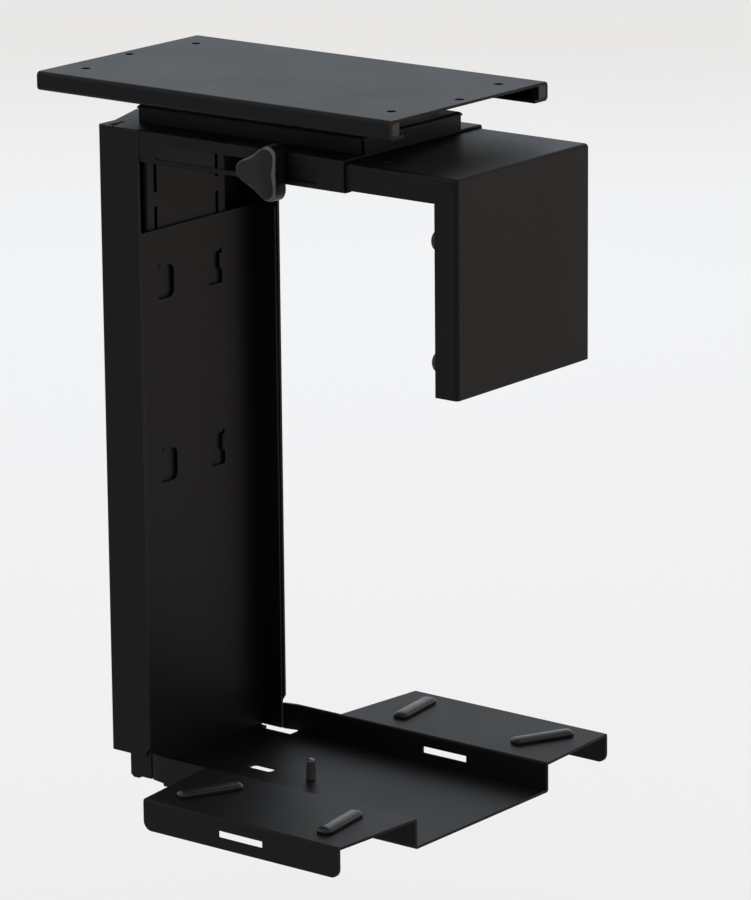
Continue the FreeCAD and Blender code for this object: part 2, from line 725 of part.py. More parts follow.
def make_hook_rail(s):
    """Hat-shaped rail riveted inside the column, with two columns of slots for the hooks."""
    body = new_body("hook_rail")
    thin = s.thin_sheet
    web = s.column_back + s.sheet
    front, back = s.rail_face, s.rail_face - thin
    face, foot = s.rail_half_width, s.rail_foot
    upper = [
        (web, face - thin), (web, foot), (web + thin, foot), (web + thin, face), (front, face),
    ]
    lower = [(x, -y) for x, y in reversed(upper)]
    hollow = [(back, thin - face), (back, face - thin)]
    outline = upper + lower + [hollow[0], hollow[1]]
    extrude(body, "XY_Plane", [outline], s.rail_bottom, s.rail_top)

    def front_bend(middle, direction):
        return along(2, direction) and near(middle.x, front.value)

    round_edges(body, 2.2, front_bend)
    low = s.first_slot_bottom
    half = s.hook_slot_width / 2
    slots = [box_outline(y - half, y + half, low, low + s.hook_slot_height)
             for y in (-s.hook_y, s.hook_y)]
    pocket = cut(body, "YZ_Plane", slots, back, front)
    pattern = body.newObject("PartDesign::LinearPattern", "hook_rail_slots")
    pattern.Originals = [pocket]
    pattern.Direction = (pocket.Profile[0], ["V_Axis"])
    pattern.Reversed = True
    pattern.Occurrences = HOOK_SLOT_COUNT
    pattern.setExpression("Length", (s.hook_pitch * (HOOK_SLOT_COUNT - 1)).text)
    body.Tip = pattern
    finish(body, pattern)
    holes = [(y, z, s.rivet_radius) for _, y, z in rail_rivet_places(s)]
    cut(body, "YZ_Plane", holes, web, web + thin)
    return body


def make_frame_rivets(s):
    """Domed rivets: heads on the outside of the column's web, flat tails inside."""
    grip = s.sheet + s.thin_sheet
    tail = as_size(1.2)
    head, dome = s.rivet_head_radius, s.rivet_head_height
    outline = [
        (ZERO, -grip - tail), (s.rivet_head_radius - 1.2, -grip - tail), (s.rivet_head_radius - 0.8, -grip),
        (s.rivet_radius, -grip), (s.rivet_radius, ZERO), (head, ZERO), (head - 0.5, dome / 2),
        (head - 2.0, dome), (ZERO, dome),
    ]
    column_rivets = turned_group("column_rivets", outline, column_rivet_places(s), UP_TO_MINUS_X)
    rail_rivets = turned_group("rail_rivets", outline, rail_rivet_places(s), UP_TO_MINUS_X)
    return [column_rivets, rail_rivets]


# ---------------------------------------------------------------- tray bracket

def make_upright(s, body):
    """Channel that nests in the column, with four windows whose tongues are bent back as hooks."""
    left, half = s.web_back, s.upright_half_width
    right = left + s.upright_depth
    outline = [
        (left, -half), (right, -half), (right, s.sheet - half), (left + s.sheet, s.sheet - half),
        (left + s.sheet, half - s.sheet), (right, half - s.sheet), (right, half), (left, half),
    ]
    extrude(body, "XY_Plane", [outline], s.tray_bottom + s.sheet, s.upright_top)

    def outer_bend(middle, direction):
        return along(2, direction) and near(middle.x, left.value)

    round_edges(body, s.bend_outer, outer_bend)
    rows = [ZERO, -s.hook_pitch * HOOK_ROWS_APART]
    bend = s.hook_y + s.sheet / 2 + 0.5
    high = s.window_bottom + s.window_height
    windows = [box_outline(inner, outer, s.window_bottom + drop, high + drop)
               for inner, outer in ((s.window_inner, bend), (-bend, -s.window_inner)) for drop in rows]
    cut(body, "YZ_Plane", windows, left, left + s.sheet)

    def window_corner(middle, direction):
        return along(0, direction) and near(abs(middle.y), s.window_inner.value)

    round_edges(body, 5.0, window_corner)
    reliefs = [(s.hook_y * side, high + drop, s.relief_radius) for side in (-1, 1) for drop in rows]
    cut(body, "YZ_Plane", reliefs, left, left + s.sheet)
    seat = s.first_slot_bottom - s.hook_pitch * 2 + 0.2
    tip = left - s.hook_reach
    nose = s.rail_face - s.thin_sheet - 0.5
    hooks = []
    for drop in rows:
        low, top = seat + drop, seat + drop + s.hook_neck
        hooks.append([(left + s.sheet, low), (left + s.sheet, top), (tip + 2.0, top), (tip, top - 2.0),
                      (tip, top - s.hook_drop), (nose - 2.5, top - s.hook_drop), (nose, low - 3.0),
                      (nose, low)])
    for side in (-1, 1):
        low_y = s.hook_y * side - s.sheet / 2
        extrude(body, "XZ_Plane", hooks, low_y, low_y + s.sheet)
        inner_y, outer_y = sorted((s.hook_y * side, bend * side), key=lambda y: y.value)
        root = [box_outline(left, left + s.sheet, inner_y, outer_y)]
        for drop in rows:
            extrude(body, "XY_Plane", root, seat + drop, seat + drop + s.hook_neck)


def riser_outline(s, side):
    """A riser seen from above: it starts inside the column's flanges and joggles outwards."""
    inner, outer = s.upright_half_width, s.tray_half_width
    corners = [
        (s.riser_left, inner - s.sheet), (s.joggle_end, outer - s.sheet), (s.tray_right, outer - s.sheet),
        (s.tray_right, outer), (s.joggle_end, outer), (s.riser_left, inner),
    ]
    return [(x, y * side) for x, y in corners]


def make_lower_bracket(s):
    """One folded sheet: the upright, the tray floor, two risers and two ledges with down-turned edges."""
    body = new_body("lower_bracket")
    make_upright(s, body)
    low = s.tray_bottom
    floor_top, ledge_top = low + s.sheet, low + s.riser_height
    inner, outer = s.upright_half_width, s.tray_half_width
    floor = [
        (s.web_back, -inner), (s.riser_left, -inner), (s.joggle_end, -outer), (s.tray_right, -outer),
        (s.tray_right, outer), (s.joggle_end, outer), (s.riser_left, inner), (s.web_back, inner),
    ]
    extrude(body, "XY_Plane", [floor], low, floor_top)
    edge = s.ledge_half_width
    for side in (-1, 1):
        extrude(body, "XY_Plane", [riser_outline(s, side)], floor_top, ledge_top)
        ledge = [
            (s.ledge_root_left, outer - s.sheet), (s.tray_right, outer - s.sheet), (s.tray_right, outer),
            (s.ledge_tip_right, edge), (s.ledge_tip_left, edge), (s.ledge_root_left, outer),
        ]
        extrude(body, "XY_Plane", [[(x, y * side) for x, y in ledge]], ledge_top - s.sheet, ledge_top)
        skirt_low = edge - s.sheet if side > 0 else -edge
        skirt = box_outline(s.ledge_tip_left, s.ledge_tip_right, low, ledge_top)
        extrude(body, "XZ_Plane", [skirt], skirt_low, skirt_low + s.sheet)

    def skirt_corner(middle, direction):
        return along(1, direction) and abs(middle.y) > edge.value - 2 and near(middle.z, low.value)

    def ledge_edge(middle, direction):
        return along(0, direction) and near(abs(middle.y), edge.value) and near(middle.z, ledge_top.value)

    def riser_edge(middle, direction):
        inside = near(abs(middle.y), (outer - s.sheet).value)
        return along(0, direction) and inside and near(middle.z, ledge_top.value)

    def floor_edge(middle, direction):
        outside = near(abs(middle.y), outer.value) and near(middle.z, low.value)
        heel = near(middle.x, s.web_back.value) and near(middle.z, low.value)
        return (along(0, direction) and outside) or (along(1, direction) and heel)

    round_edges(body, 6.5, skirt_corner)
    round_edges(body, 1.9, ledge_edge)
    round_edges(body, 1.8, riser_edge)
    round_edges(body, 1.9, floor_edge)

    notch_right = s.joggle_end + 0.8
    heel, past_edge = inner - 2.5, outer + 1
    notch = [
        (notch_right, s.notch_inner), (notch_right, past_edge), (s.web_back - 1, past_edge),
        (s.web_back - 1, heel), (s.notch_left, heel), (s.notch_left, s.notch_inner),
    ]
    for side in (-1, 1):
        cut(body, "XY_Plane", [[(x, y * side) for x, y in notch]], low, floor_top + 0.6)
    strap_top = s.strap_bottom + s.strap_height
    strap = box_outline(s.strap_left, s.strap_right, s.strap_bottom, strap_top)
    cut(body, "XZ_Plane", [strap], -edge, edge)

    def strap_corner(middle, direction):
        ends = near(middle.x, s.strap_left.value) or near(middle.x, s.strap_right.value)
        return along(1, direction) and ends

    round_edges(body, 0.5, strap_corner)
    half_length, half_width = s.floor_slot_length / 2, s.floor_slot_width / 2
    slot = box_outline(s.floor_slot_x - half_length, s.floor_slot_x + half_length,
                       s.floor_slot_y - half_width, s.floor_slot_y + half_width)
    cut(body, "XY_Plane", [slot], low, floor_top)

    def slot_corner(middle, direction):
        ends = near(abs(middle.x - s.floor_slot_x.value), half_length.value)
        return along(2, direction) and ends and near(abs(middle.y - s.floor_slot_y.value), half_width.value)

    round_edges(body, 2.5, slot_corner)
    stems = [(x, y, s.pad_stem_radius) for _, *pad in pad_list(s) for x, y in stem_places(s, *pad)]
    cut(body, "XY_Plane", stems, ledge_top - s.sheet, ledge_top)
    return body


def pad_list(s):
    """Name, place along X, side, and angle of each rubber pad. Opposite corners are alike."""
    wide, slight = 90.0 - s.pad_lean_wide.value, 90.0 + s.pad_lean_slight.value
    return [
        ("pad_front_left", s.pad_left_x, -1, wide), ("pad_back_left", s.pad_left_x, 1, slight),
        ("pad_front_right", s.pad_right_x, -1, slight), ("pad_back_right", s.pad_right_x, 1, wide),
    ]


def stem_places(s, centre_x, side, turn):
    angle = math.radians(turn)
    reach = s.pad_stem_spacing / 2
    return [(centre_x + reach * (math.cos(angle) * end), s.pad_y * side + reach * (math.sin(angle) * end))
            for end in (-1, 1)]


def make_pads(s):
    """Rubber rests for the computer, each pushed into the ledge on two stems."""
    pads = []
    top = s.tray_bottom + s.riser_height
    for label, centre_x, side, turn in pad_list(s):
        body = new_body(label)
        half_length, half_width = s.pad_length / 2, s.pad_width / 2
        outline = box_outline(-half_length, half_length, -half_width, half_width)
        extrude(body, "XY_Plane", [outline], ZERO, s.pad_height)
        round_edges(body, s.pad_corner, lambda middle, direction: along(2, direction))
        reach = s.pad_stem_spacing / 2
        stems = [(reach * end, ZERO, s.pad_stem_radius) for end in (-1, 1)]
        extrude(body, "XY_Plane", stems, -s.sheet - 1.5, ZERO)
        place(body, centre_x, s.pad_y * side, top, FreeCAD.Rotation(FreeCAD.Vector(0, 0, 1), turn))
        pads.append(body)
    return pads


def make_tray_stud(s):
    """Plain stud welded to the tray floor."""
    body = new_body("tray_stud")
    radius, top = s.tray_stud_radius, s.tray_stud_height
    revolve(body, [(ZERO, ZERO), (radius, ZERO), (radius, top - 1.8), (radius - 0.7, top - 0.6),
                   (radius - 2.0, top), (ZERO, top)])
    place(body, s.tray_stud_x, s.floor_slot_y, s.tray_bottom + s.sheet)
    return body


# ---------------------------------------------------------------- clamp arm

def make_clamp_arm(s):
    """L-shaped channel, mitred at the corner: it slides in the sleeve and its leg holds the computer."""
    body = new_body("clamp_arm")
    half, thin, top = s.arm_half_width, s.thin_sheet, s.arm_top
    flange_bottom = top - s.arm_flange
    beam = [
        (-half, flange_bottom), (thin - half, flange_bottom), (thin - half, top - thin),
        (half - thin, top - thin), (half - thin, flange_bottom), (half, flange_bottom), (half, top),
        (-half, top),
    ]
    extrude(body, "YZ_Plane", [beam], s.arm_left, s.arm_right)
    right, inside = s.arm_right, s.arm_right - s.arm_flange
    leg = [
        (inside, -half), (right, -half), (right, half), (inside, half), (inside, half - thin),
        (right - thin, half - thin), (right - thin, thin - half), (inside, thin - half),
    ]
    extrude(body, "XY_Plane", [leg], s.arm_bottom, top)

    def outer_bend(middle, direction):
        over = along(0, direction) and near(abs(middle.y), half.value) and near(middle.z, top.value)
        corner = near(middle.x, right.value)
        side = along(2, direction) and corner and near(abs(middle.y), half.value)
        shoulder = along(1, direction) and corner and near(middle.z, top.value)
        return over or side or shoulder

    def inner_bend(middle, direction):
        over = along(0, direction) and near(abs(middle.y), (half - thin).value)
        over = over and near(middle.z, (top - thin).value)
        corner = near(middle.x, (right - thin).value)
        side = along(2, direction) and corner and near(abs(middle.y), (half - thin).value)
        shoulder = along(1, direction) and corner and near(middle.z, (top - thin).value)
        return over or side or shoulder

    round_edges(body, s.arm_bend - thin, inner_bend)
    round_edges(body, s.arm_bend, outer_bend)
    depth, width = as_size(0.4), 0.35
    for face in (-half, half - depth):
        mitre = [(inside - width, flange_bottom), (inside + width, flange_bottom), (right, top - width),
                 (right, top), (right - width, top)]
        cut(body, "XZ_Plane", [mitre], face, face + depth)
    cut(body, "XY_Plane", [(s.dimple_x, s.dimple_y, as_size(6.7))], top - 0.5, top)
    cut(body, "XZ_Plane", [(s.knob_x, s.knob_level, s.stud_radius + 0.4)], -half, thin - half)
    return body


def bumper_places(s):
    """Name, side and height of each bumper on the inside of the leg."""
    return [
        ("bumper_upper_front", -1, s.bumper_high), ("bumper_upper_back", 1, s.bumper_high),
        ("bumper_lower_front", -1, s.bumper_low), ("bumper_lower_back", 1, s.bumper_low),
    ]


def make_bumpers(s):
    """Rubber bumpers with domed tips, moulded over studs on the leg."""
    wall = s.arm_right - s.thin_sheet
    length = wall - s.bumper_tip
    radius = s.bumper_radius
    stud, stud_length = as_size(2.0), length - 8.0
    outline = [
        (stud, ZERO), (radius, ZERO), (radius, length - 4.0), (radius - 1.0, length - 1.9),
        (radius - 3.2, length - 0.5), (radius - 6.0, length), (ZERO, length), (ZERO, stud_length),
        (stud, stud_length),
    ]
    bumpers, members = [], []
    for label, side, level in bumper_places(s):
        body = new_body(label)
        revolve(body, outline)
        place(body, wall, s.bumper_y * side, level, UP_TO_MINUS_X)
        bumpers.append(body)
    rod = box_outline(ZERO, stud, ZERO, stud_length)
    places = [(wall, s.bumper_y * side, level) for _, side, level in bumper_places(s)]
    studs = turned_group("bumper_studs", rod, places, UP_TO_MINUS_X)
    return bumpers + [studs]


def make_knob(s):
    """Knob with three lobes, one of them pointing away from the arm's leg."""
    body = new_body("knob")
    far = s.knob_inradius * 2
    triangle = []
    for lobe in range(3):
        angle = math.pi + lobe * 2 * math.pi / 3
        triangle.append((far * math.cos(angle), far * math.sin(angle)))
    depth = s.knob_back - s.knob_front
    extrude(body, "XY_Plane", [triangle], ZERO, depth)
    round_edges(body, s.knob_corner, lambda middle, direction: along(2, direction))
    hub_depth = as_size(8.0)
    cut(body, "XY_Plane", [(ZERO, ZERO, s.stud_radius)], ZERO, hub_depth)
    place(body, s.knob_x, s.knob_back, s.knob_level, UP_TO_MINUS_Y)
    return body


def make_knob_hardware(s):
    """Stud in the knob, washer under it, and the square nut that rides inside the arm."""
    inside = s.thin_sheet - s.arm_half_width
    nut_depth = as_size(5.0)
    back = s.knob_back
    reach = inside + nut_depth + 2.0 - back
    stud = new_body("knob_stud")
    revolve(stud, box_outline(ZERO, s.stud_radius, -reach, as_size(8.0)))
    place(stud, s.knob_x, back, s.knob_level, UP_TO_MINUS_Y)
    washer = new_body("knob_washer")
    thickness = as_size(1.4)
    face = -s.frame_half_width - s.gap
    revolve(washer, box_outline(s.stud_radius, s.washer_radius, ZERO, thickness))
    place(washer, s.knob_x, face, s.knob_level, UP_TO_MINUS_Y)
    nut = new_body("arm_nut")
    side = 5.5
    square = box_outline(as_size(-side), as_size(side), as_size(-side), as_size(side))
    extrude(nut, "XY_Plane", [square, (ZERO, ZERO, s.stud_radius + 0.05)], -nut_depth, ZERO)
    place(nut, s.knob_x, inside, s.knob_level, UP_TO_MINUS_Y)
    return [stud, washer, nut]


# ---------------------------------------------------------------- the whole holder

def make_all(s):
    carriage_bottom = s.carriage_top - s.carriage_thickness
    upper_face, lower_face = s.ball_level + s.race_gap, s.ball_level - s.race_gap
    parts = [
        make_mounting_plate(s),
        make_rail_stops(s),
        make_carriage_plate(s),
        make_glide(s, "glide_front", -1),
        make_glide(s, "glide_back", 1),
        make_race(s, "upper_race", carriage_bottom, upper_face, 0.0),
        make_race_rivets(s, "upper_race_rivets", 0.0, upper_face + 0.4, s.carriage_top),
        make_ball_cage(s),
        make_balls(s),
        make_race(s, "lower_race", s.pan_top, lower_face, math.pi / 4),
        make_race_rivets(s, "lower_race_rivets", math.pi / 4, s.pan_top - s.sheet, lower_face - 0.4),
    ]
    parts += make_pivot(s)
    parts.append(make_turntable_pan(s))
    parts += make_pan_fasteners(s)
    parts += [make_arm_sleeve(s), make_column(s), make_hook_rail(s)]
    parts += make_frame_rivets(s)
    parts.append(make_lower_bracket(s))
    parts += make_pads(s)
    parts += [make_tray_stud(s), make_clamp_arm(s)]
    parts += make_bumpers(s)
    parts.append(make_knob(s))
    parts += make_knob_hardware(s)
    return parts


def check(parts):
    """Stop if any object failed or any sub-part is not a sound solid."""
    for item in doc.Objects:
        if "Invalid" in item.State or "Error" in item.State:
            raise RuntimeError(f"{item.Label} failed: {item.State}")
    for part in parts:
        shape = part.Shape
        if shape.isNull() or not shape.isValid() or not shape.Solids:
            raise RuntimeError(f"{part.Label} is not a sound solid")


def export(parts):
    os.makedirs("parts", exist_ok=True)
    for part in parts:
        part.Shape.exportStep(f"parts/{part.Label}.step")
        box = part.Shape.BoundBox
        print(f"{part.Label}: {len(part.Shape.Solids)} solid(s), "
              f"{box.XLength:.1f} x {box.YLength:.1f} x {box.ZLength:.1f} mm")


doc = FreeCAD.newDocument("holder")
holder = make_all(fill_spreadsheet())
doc.recompute()
check(holder)
export(holder)
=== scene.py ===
# %% [markdown]
# # A holder that hangs a computer under a desk
# This notebook dresses a finished CAD model. The model has the sizes, the joints and the fasteners. Here it
# gets what a camera sees: softened cut edges, a powder coat, turned and moulded pieces, light and a view.
# Read it from top to bottom. Each step says what the real piece is, how it could be made in Blender, and why
# this way was chosen.

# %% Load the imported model
import json
import math

import bpy
import bmesh
from mathutils import Matrix, Vector


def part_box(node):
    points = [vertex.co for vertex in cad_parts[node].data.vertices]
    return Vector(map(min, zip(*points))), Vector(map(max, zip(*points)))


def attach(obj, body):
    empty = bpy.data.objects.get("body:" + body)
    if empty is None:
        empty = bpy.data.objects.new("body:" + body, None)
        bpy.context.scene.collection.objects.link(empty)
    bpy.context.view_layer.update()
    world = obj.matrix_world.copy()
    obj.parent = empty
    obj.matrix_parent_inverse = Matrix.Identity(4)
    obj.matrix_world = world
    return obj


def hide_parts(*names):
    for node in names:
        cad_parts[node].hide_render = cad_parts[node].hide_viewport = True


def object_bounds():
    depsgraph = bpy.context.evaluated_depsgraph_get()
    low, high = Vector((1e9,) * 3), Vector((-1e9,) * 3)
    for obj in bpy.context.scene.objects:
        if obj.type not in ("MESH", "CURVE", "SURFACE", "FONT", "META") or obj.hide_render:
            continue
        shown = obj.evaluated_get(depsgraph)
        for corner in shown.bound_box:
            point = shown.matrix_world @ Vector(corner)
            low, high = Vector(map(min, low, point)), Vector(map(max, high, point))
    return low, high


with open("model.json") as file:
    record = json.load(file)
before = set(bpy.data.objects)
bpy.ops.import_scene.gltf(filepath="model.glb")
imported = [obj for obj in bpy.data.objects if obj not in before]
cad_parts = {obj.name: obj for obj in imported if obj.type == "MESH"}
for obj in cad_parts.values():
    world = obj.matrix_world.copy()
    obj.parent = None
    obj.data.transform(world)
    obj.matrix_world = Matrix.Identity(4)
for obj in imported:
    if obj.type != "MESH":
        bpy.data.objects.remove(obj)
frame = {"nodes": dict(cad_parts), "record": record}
cad_low, cad_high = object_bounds()
MM = 0.001          # sizes below are in millimetres times MM, because Blender counts in metres

# %% [markdown]
# ## The camera
# A long lens from a few metres away keeps upright edges nearly parallel. The camera is easiest to think of
# as standing on a ball around a target: an azimuth, an elevation and a distance place it, and a small roll
# tips the horizon. The columns of its rotation matrix are the picture's right, the picture's up and the
# reverse of the line of sight, so no Track To constraint is needed.

# %% Camera
VIEW_AZIMUTH = math.radians(38.153)
VIEW_ELEVATION = math.radians(14.812)
VIEW_ROLL = math.radians(-0.521)
VIEW_DISTANCE = 3451.4 * MM
LENS_LENGTH = 203.77          # for the usual sensor, 36 wide
target = Vector((45.55, 30.15, -256.75)) * MM

line_of_sight = Vector((
    -math.sin(VIEW_AZIMUTH) * math.cos(VIEW_ELEVATION),
    math.cos(VIEW_AZIMUTH) * math.cos(VIEW_ELEVATION),
    -math.sin(VIEW_ELEVATION),
))
level_right = Vector((math.cos(VIEW_AZIMUTH), math.sin(VIEW_AZIMUTH), 0.0))
level_up = level_right.cross(line_of_sight)
picture_right = level_right * math.cos(VIEW_ROLL) + level_up * math.sin(VIEW_ROLL)
picture_up = level_up * math.cos(VIEW_ROLL) - level_right * math.sin(VIEW_ROLL)

camera_data = bpy.data.cameras.new("portrait_camera")
camera_data.lens = LENS_LENGTH
camera_data.clip_end = 60.0
camera = bpy.data.objects.new("portrait_camera", camera_data)
bpy.context.scene.collection.objects.link(camera)
turn = Matrix((picture_right, picture_up, -line_of_sight)).transposed()
camera.matrix_world = Matrix.Translation(target - line_of_sight * VIEW_DISTANCE) @ turn.to_4x4()
bpy.context.scene.camera = camera
print("camera at", [round(value, 3) for value in camera.matrix_world.translation])

# %% [markdown]
# ## A little help with shader nodes
# Every finish is a small tree of nodes around one Principled BSDF. `new_finish` starts such a tree, and `add`
# drops a node into it and fills its sockets in one call: a plain value is typed into the socket, and another
# node's output is linked to it. All patterns read Object coordinates. The finished pieces keep their object
# at the origin, so those coordinates are metres in the model's own frame, and a grain has the same real
# scale on every piece.

# %% Shader helpers
def new_finish(name):
    """A material with an empty tree, its Principled BSDF and its Object coordinates."""
    finish = bpy.data.materials.new(name)
    finish.use_nodes = True
    tree = finish.node_tree
    surface = next(node for node in tree.nodes if node.type == "BSDF_PRINCIPLED")
    place = tree.nodes.new("ShaderNodeTexCoord")
    return finish, tree, surface, place.outputs["Object"]


def fill(tree, node, sockets):
    """Type a value into each named socket, or link another node's output to it."""
    for socket, value in sockets.items():
        if isinstance(value, bpy.types.NodeSocket):
            tree.links.new(value, node.inputs[socket])
        else:
            node.inputs[socket].default_value = value


def add(tree, kind, sockets, **settings):
    node = tree.nodes.new(kind)
    for setting, value in settings.items():
        setattr(node, setting, value)
    fill(tree, node, sockets)
    return node


def noise(tree, place, size, detail=3.0):
    """Cloudy pattern whose blobs are about `size` across, from 0 to 1."""
    return add(tree, "ShaderNodeTexNoise", {"Vector": place, "Scale": 1.0 / size, "Detail": detail}).outputs[0]


def between(tree, pattern, low, high):
    """Stretch the middle of a 0-to-1 pattern to run from low to high."""
    node = add(tree, "ShaderNodeMapRange", {
        "Value": pattern, "From Min": 0.3, "From Max": 0.7, "To Min": low, "To Max": high})
    return node.outputs[0]


def blend_colours(tree, pattern, first, second):
    node = add(tree, "ShaderNodeMix", {0: pattern, 6: (*first, 1.0), 7: (*second, 1.0)}, data_type="RGBA")
    return node.outputs[2]


def bump(tree, height, depth, strength, under=None):
    """Raise the surface by `depth` where the pattern is bright. `under` is a bump to stack it on."""
    node = add(tree, "ShaderNodeBump", {"Height": height, "Distance": depth, "Strength": strength})
    if under is not None:
        tree.links.new(under, node.inputs["Normal"])
    return node.outputs[0]


print("shader helpers are ready")

# %% [markdown]
# ## Black powder coat
# Powder is sprayed on as dust and baked until it flows, so it dries with a fine orange peel: soft bumps about
# half a millimetre across, which spread every reflection. A flat black would look like a hole in the picture.
# The coat below has two scales of bump, a roughness that wanders a little from place to place, and a colour
# that does too. Its specular level is low, because a textured coat throws back less than a polished one.
# The edges get a second finish that is smoother and lighter in colour; the lighter colour is a painted highlight
# along the cut edges. The tray's stud gets a shinier coat, and its lighter colour is a painted sheen.

# %% Powder coat
def powder_coat(name, dark, light, rough_low, rough_high, peel, gloss):
    finish, tree, surface, place = new_finish(name)
    clouds = noise(tree, place, 60 * MM, 2.0)
    grain = noise(tree, place, 0.55 * MM, 3.0)
    specks = noise(tree, place, 1.6 * MM, 2.0)
    roughness = add(tree, "ShaderNodeMath", {
        0: between(tree, clouds, rough_low, rough_high),
        1: between(tree, specks, -0.03, 0.03)}, operation="ADD").outputs[0]
    coarse = bump(tree, specks, 0.05 * MM, peel * 0.6)
    fill(tree, surface, {
        "Base Color": blend_colours(tree, between(tree, clouds, 0.0, 1.0), dark, light),
        "Roughness": roughness,
        "Specular IOR Level": gloss,
        "Normal": bump(tree, grain, 0.03 * MM, peel, coarse),
    })
    return finish


black_coat = powder_coat("black_powder_coat", (0.0019, 0.0019, 0.0020), (0.0025, 0.0025, 0.0027),
                         0.48, 0.51, 0.30, 0.10)
# The edge coat's lighter colour is a painted highlight along the cut edges.
edge_coat_painted_highlight = powder_coat("coat_with_painted_edge_highlight", (0.007, 0.007, 0.008), (0.011, 0.011, 0.012), 0.32, 0.40, 0.15, 0.25)
# The stud's coat is lighter in colour than the black coat: a painted sheen. Its higher gloss is real.
stud_coat_painted_sheen = powder_coat("stud_coat_with_painted_sheen", (0.018, 0.018, 0.018), (0.030, 0.030, 0.029), 0.28, 0.36, 0.12, 0.55)
print("made", black_coat.name, edge_coat_painted_highlight.name, "and", stud_coat_painted_sheen.name)

# %% [markdown]
# ## Bright metal, nylon, rubber and moulded plastic
# Zinc plate on bolts and races is greyish, faintly blue and a little blotched. Pressed brass is warmer and
# smoother. Nylon lets some light in. Rubber is matt with a fine bloom.
# The knob's plastic has a spark-eroded grain, like most moulded grips, and its chamfer is lighter in colour as a
# painted highlight.

# %% The other finishes
def bright_metal(name, dull, clean, rough_low, rough_high):
    finish, tree, surface, place = new_finish(name)
    blotches = noise(tree, place, 9 * MM, 3.0)
    scratches = noise(tree, place, 0.4 * MM, 2.0)
    fill(tree, surface, {
        "Base Color": blend_colours(tree, between(tree, blotches, 0.0, 1.0), dull, clean),
        "Metallic": 1.0,
        "Roughness": between(tree, blotches, rough_low, rough_high),
        "Normal": bump(tree, scratches, 0.02 * MM, 0.25),
    })
    return finish


def soft_plastic(name, dark, light, rough_low, rough_high, grain_size, grain_depth, specular):
    finish, tree, surface, place = new_finish(name)
    clouds = noise(tree, place, 14 * MM, 2.0)
    grain = noise(tree, place, grain_size, 3.0)
    fill(tree, surface, {
        "Base Color": blend_colours(tree, between(tree, clouds, 0.0, 1.0), dark, light),
        "Roughness": between(tree, clouds, rough_low, rough_high),
        "Specular IOR Level": specular,
        "Normal": bump(tree, grain, grain_depth, 0.4),
    })
    return finish


zinc_plate = bright_metal("zinc_plate", (0.42, 0.43, 0.45), (0.60, 0.61, 0.62), 0.24, 0.36)
pressed_brass = bright_metal("pressed_brass", (0.50, 0.36, 0.15), (0.66, 0.50, 0.24), 0.26, 0.38)
natural_nylon = soft_plastic("natural_nylon", (0.62, 0.61, 0.56), (0.74, 0.73, 0.68), 0.42, 0.52,
                             0.8 * MM, 0.02 * MM, 0.4)
black_rubber = soft_plastic("black_rubber", (0.0030, 0.0030, 0.0033), (0.0055, 0.0055, 0.006), 0.26, 0.38,
                            0.7 * MM, 0.05 * MM, 0.24)
grip_plastic = soft_plastic("grip_plastic", (0.0030, 0.0030, 0.0026), (0.0042, 0.0042, 0.0036), 0.30, 0.38,
                            0.45 * MM, 0.04 * MM, 0.16)
# The chamfer finish's lighter colour is a painted highlight.
grip_edge_painted_highlight = soft_plastic("grip_chamfer_painted_highlight", (0.036, 0.036, 0.034), (0.050, 0.050, 0.047), 0.26, 0.32,
                         0.45 * MM, 0.02 * MM, 0.4)
print("made", [finish.name for finish in (zinc_plate, pressed_brass, natural_nylon, black_rubber, grip_plastic,
                                          grip_edge_painted_highlight)])

# %% [markdown]
# ## Handing a piece over
# A finished piece has to say two things to the frame: which CAD body it moves with, and which CAD nodes it
# stands for. `hand_over` says both: it hangs the piece on that body's empty and hides those nodes.

# %% Hand-over helpers
STEEL, ZINC, BRASS, NYLON, RUBBER, GRIP = "black_steel", "zinc_steel", "brass", "nylon", "rubber", "knob_plastic"
body_of_node = {node: body for body, nodes in frame["record"]["behaviour"]["bodies"].items() for node in nodes}


def hand_over(piece, slot, *nodes):
    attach(piece, body_of_node[nodes[0]])
    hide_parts(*nodes)
    return piece


def new_piece(name, mesh, *finishes):
    piece = bpy.data.objects.new(name, mesh)
    bpy.context.scene.collection.objects.link(piece)
    mesh.materials.clear()
    for finish in finishes:
        mesh.materials.append(finish)
    return piece


def with_modifiers_applied(piece):
    """Bake the modifiers into the mesh, and drop them."""
    graph = bpy.context.evaluated_depsgraph_get()
    baked = bpy.data.meshes.new_from_object(piece.evaluated_get(graph), preserve_all_data_layers=True,
                                            depsgraph=graph)
    piece.modifiers.clear()
    piece.data = baked
    return piece


print("hand-over helpers are ready")

# %% [markdown]
# ## Softened sheet steel
# A laser or a punch leaves a square edge, but after tumbling and coating no edge is truly sharp, and the thin
# line of light along it is what makes steel look like steel. The folded shapes are already right in the
# CAD model, so each piece starts as a copy of its node. The copy is loose triangles, so its doubles are merged
# and its flat faces are joined first. A Bevel modifier then rounds only the edges that turn by more than 40
# degrees, which leaves the folds alone, and Weighted Normal keeps the large flat faces flat. The bevel's
# faces take the second material slot: that is where the edge finish goes, and its lighter colour is a painted
# highlight.

# %% Soften a CAD node
SHARP = math.radians(40.0)


def merged_copy(node):
    mesh = frame["nodes"][node].data.copy()
    work = bmesh.new()
    work.from_mesh(mesh)
    bmesh.ops.remove_doubles(work, verts=work.verts, dist=0.002 * MM)
    bmesh.ops.dissolve_limit(work, angle_limit=math.radians(0.3), verts=work.verts, edges=work.edges)
    work.to_mesh(mesh)
    work.free()
    return mesh


